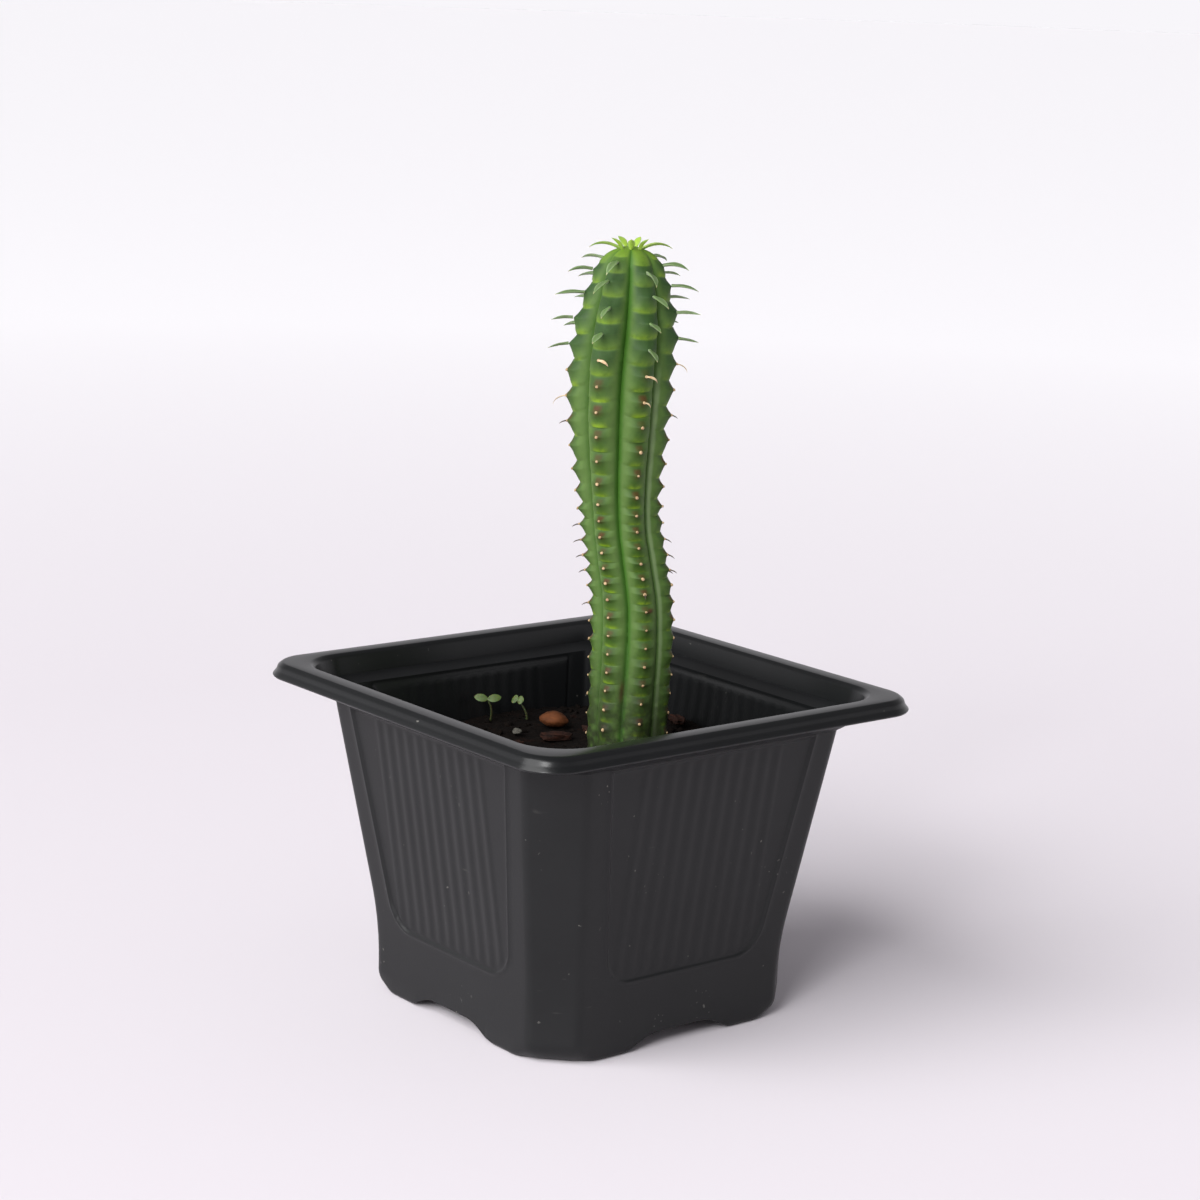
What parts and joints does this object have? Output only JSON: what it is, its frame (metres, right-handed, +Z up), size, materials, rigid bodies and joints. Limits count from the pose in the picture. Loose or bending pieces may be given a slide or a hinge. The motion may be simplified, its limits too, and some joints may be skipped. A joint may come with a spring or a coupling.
{
  "type": "potted succulent plant",
  "caption": "Young upright ribbed succulent with small leaves near its tip, planted off centre in a square tapered nursery pot of potting mix.",
  "frame": {"origin": "on the ground, under the middle of the pot", "axes": "+Z up along the stem, X and Y along the pot's sides, with the corner seen in front at +X, -Y"},
  "size_m": [0.1032, 0.1032, 0.1668],
  "materials": {
    "pot_plastic": "satin",
    "potting_mix": "matte",
    "stem_skin": "satin",
    "leaf": "satin",
    "young_leaf": "satin",
    "seedling": "satin",
    "orange_stone": "matte",
    "pale_stone": "matte",
    "bark": "matte"
  },
  "bodies": {
    "root": {"bark_chip_1": "bark", "bark_chip_2": "bark", "bark_chip_3": "bark", "bark_chip_4": "bark", "bark_chip_5": "bark", "bark_chip_6": "bark", "crown_leaf_1": "young_leaf", "crown_leaf_2": "young_leaf", "crown_leaf_3": "young_leaf", "crown_leaf_4": "young_leaf", "crown_leaf_5": "young_leaf", "crown_leaf_6": "young_leaf", "crown_leaf_7": "young_leaf", "leaf_01": "leaf", "leaf_02": "leaf", "leaf_03": "leaf", "leaf_04": "leaf", "leaf_05": "leaf", "leaf_06": "leaf", "leaf_07": "leaf", "leaf_08": "leaf", "leaf_09": "leaf", "leaf_10": "leaf", "leaf_11": "leaf", "leaf_12": "leaf", "leaf_13": "leaf", "leaf_14": "leaf", "leaf_15": "leaf", "leaf_16": "leaf", "leaf_17": "leaf", "leaf_18": "leaf", "leaf_19": "leaf", "leaf_20": "leaf", "leaf_21": "leaf", "leaf_22": "leaf", "leaf_23": "leaf", "leaf_24": "leaf", "leaf_25": "leaf", "leaf_26": "leaf", "leaf_27": "leaf", "leaf_28": "leaf", "orange_stone": "orange_stone", "pale_stone": "pale_stone", "pot": "pot_plastic", "seedling_left": "seedling", "seedling_right": "seedling", "soil": "potting_mix", "stem": "stem_skin"}
  },
  "joints": []
}
